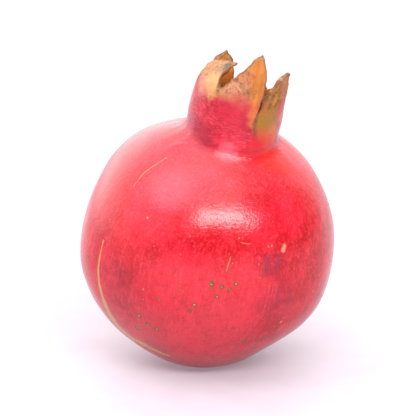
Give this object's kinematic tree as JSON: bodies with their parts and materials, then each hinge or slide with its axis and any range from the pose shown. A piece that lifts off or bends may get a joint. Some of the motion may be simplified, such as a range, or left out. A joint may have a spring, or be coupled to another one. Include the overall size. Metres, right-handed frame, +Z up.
{
  "type": "pomegranate",
  "caption": "Whole ripe pomegranate with a round leathery body, an open crown of dried sepals with stamens inside, and a clipped stalk stub.",
  "frame": {"origin": "middle of the small flat spot the fruit rests on, straight below the middle of its body", "axes": "+Z up; -Y towards the viewer of the picture; +X to that viewer's right, the side the crown leans to"},
  "size_m": [0.0924, 0.0941, 0.1212],
  "materials": {
    "rind": "satin",
    "dried_stamens": "matte",
    "dried_style": "matte",
    "stalk": "matte"
  },
  "bodies": {
    "root": {"fruit": "rind", "stamens": "dried_stamens", "style": "dried_style", "stem_stub": "stalk"}
  },
  "joints": []
}
